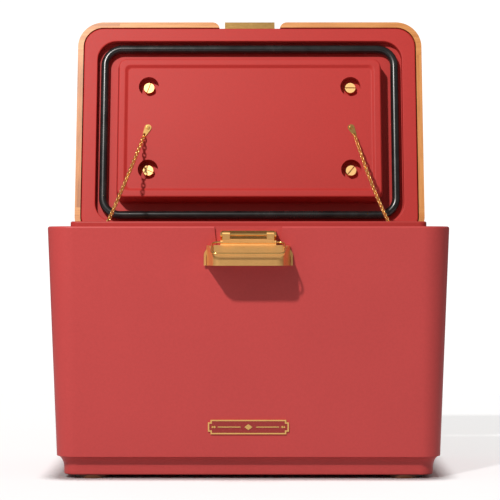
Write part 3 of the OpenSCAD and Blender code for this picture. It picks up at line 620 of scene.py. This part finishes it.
def make_floor():
    """A plain pale floor, darker to the light it bounces than it looks."""
    bm = bmesh.new()
    near, far, half = -3300, 1700, 2500
    bm.faces.new([bm.verts.new((x, y, 0)) for x, y in ((-half, near), (half, near), (half, far),
                                                       (-half, far))])
    obj = bpy.data.objects.new("floor", finish_mesh(bm, "floor"))
    bpy.context.scene.collection.objects.link(obj)
    g = Graph("floor_white")
    g.set(Base_Color=(0.9, 0.9, 0.9, 1), Roughness=1.0, Specular_IOR_Level=0.0)
    bounce = g.add("ShaderNodeBsdfDiffuse")
    bounce.inputs["Color"].default_value = (0.66, 0.66, 0.66, 1)
    path = g.add("ShaderNodeLightPath")
    mix = g.add("ShaderNodeMixShader")
    g.link(path.outputs["Is Camera Ray"], mix.inputs["Fac"])
    g.link(bounce.outputs["BSDF"], mix.inputs[1])
    g.link(g.shader.outputs["BSDF"], mix.inputs[2])
    g.link(mix.outputs["Shader"], g.nodes["Material Output"].inputs["Surface"])
    obj.data.materials.append(g.material)
    return obj


def make_world():
    """White behind the object; bright above and dim at eye level for what lights it."""
    world = bpy.data.worlds.new("studio")
    bpy.context.scene.world = world
    world.use_nodes = True
    nodes, links = world.node_tree.nodes, world.node_tree.links
    coords = nodes.new("ShaderNodeTexCoord")
    split = nodes.new("ShaderNodeSeparateXYZ")
    lift = nodes.new("ShaderNodeMapRange")
    lift.inputs["From Min"].default_value = -1
    ramp = nodes.new("ShaderNodeValToRGB")
    stops = [(0.42, 0.20), (0.55, 0.26), (0.66, 0.40), (0.80, 0.50)]
    while len(ramp.color_ramp.elements) < len(stops):
        ramp.color_ramp.elements.new(0.5)
    for element, (at, grey) in zip(ramp.color_ramp.elements, stops):
        element.position, element.color = at, (grey, grey * 0.985, grey * 0.96, 1)
    background = nodes["Background"]
    seen = nodes.new("ShaderNodeBackground")
    seen.inputs["Color"].default_value = (1, 1, 1, 1)
    seen.inputs["Strength"].default_value = 1.1
    path = nodes.new("ShaderNodeLightPath")
    mix = nodes.new("ShaderNodeMixShader")
    links.new(coords.outputs["Generated"], split.inputs["Vector"])
    links.new(split.outputs["Z"], lift.inputs["Value"])
    links.new(lift.outputs["Result"], ramp.inputs["Fac"])
    links.new(ramp.outputs["Color"], background.inputs["Color"])
    background.inputs["Strength"].default_value = WORLD_STRENGTH
    links.new(path.outputs["Is Camera Ray"], mix.inputs["Fac"])
    links.new(background.outputs["Background"], mix.inputs[1])
    links.new(seen.outputs["Background"], mix.inputs[2])
    links.new(mix.outputs["Shader"], nodes["World Output"].inputs["Surface"])


WORLD_STRENGTH = 0.52
LIGHT_TRAVEL = Vector((0.54, 1.0, -1.13)).normalized()
FILL_TRAVEL = Vector((1.0, 1.1, -0.7)).normalized()
LIGHT_AWAY = 3
KEY_POWER, FILL_POWER, FLOOR_POWER, SLANT_POWER = 96, 7, 2.2, 0.8


def add_light(name, kind, energy, colour, place, travel, **settings):
    light = bpy.data.lights.new(name, kind)
    light.energy, light.color = energy, colour
    for key, value in settings.items():
        setattr(light, key, value)
    obj = bpy.data.objects.new(name, light)
    bpy.context.scene.collection.objects.link(obj)
    obj.location = place
    obj.rotation_mode = "QUATERNION"
    obj.rotation_quaternion = travel.to_track_quat("-Z", "Y")
    return obj


def make_lights(floor):
    """A crisp key from the upper left front, a weak fill, and two suns for the floor alone."""
    target = Vector((0, -0.2, 0.33))
    above = Vector((0, 0, 4))
    key = add_light("key", "AREA", KEY_POWER, (1.0, 0.965, 0.92),
                    target - LIGHT_AWAY * LIGHT_TRAVEL, LIGHT_TRAVEL, shape="DISK", size=0.16)
    fill = add_light("fill", "AREA", FILL_POWER, (1.0, 0.98, 0.96),
                     target - LIGHT_AWAY * FILL_TRAVEL, FILL_TRAVEL,
                     shape="RECTANGLE", size=1.0, size_y=1.6)
    down = add_light("floor_light", "SUN", FLOOR_POWER, (1, 1, 1), above, Vector((0, 0, -1)),
                     angle=math.radians(6))
    slant = add_light("floor_slant", "SUN", SLANT_POWER, (1, 1, 1), above, LIGHT_TRAVEL,
                      angle=math.radians(3))
    only = bpy.data.collections.new("floor_only")
    only.objects.link(floor)
    for light in (down, slant):
        light.light_linking.receiver_collection = only
    blockers = bpy.data.collections.new("all_but_latch")
    for name in ("latch_lever", "latch_bail"):
        blockers.objects.link(NODES[name])
    for item in blockers.collection_objects:
        item.light_linking.link_state = "EXCLUDE"
    down.light_linking.blocker_collection = blockers
    others = bpy.data.collections.new("all_but_floor")
    others.objects.link(floor)
    others.collection_objects[0].light_linking.link_state = "EXCLUDE"
    for light in (key, fill):
        light.light_linking.receiver_collection = others


def make_camera():
    data = bpy.data.cameras.new("camera")
    data.sensor_width = 36
    data.lens = 146.3
    data.clip_end = 100
    camera = bpy.data.objects.new("camera", data)
    bpy.context.scene.collection.objects.link(camera)
    camera.location = (0.015, -3.355, 0.357)
    camera.rotation_euler = (math.radians(90), 0, math.radians(0.226))
    bpy.context.scene.camera = camera


make_world()
make_lights(make_floor())
make_camera()
bpy.context.scene.view_settings.view_transform = "Standard"
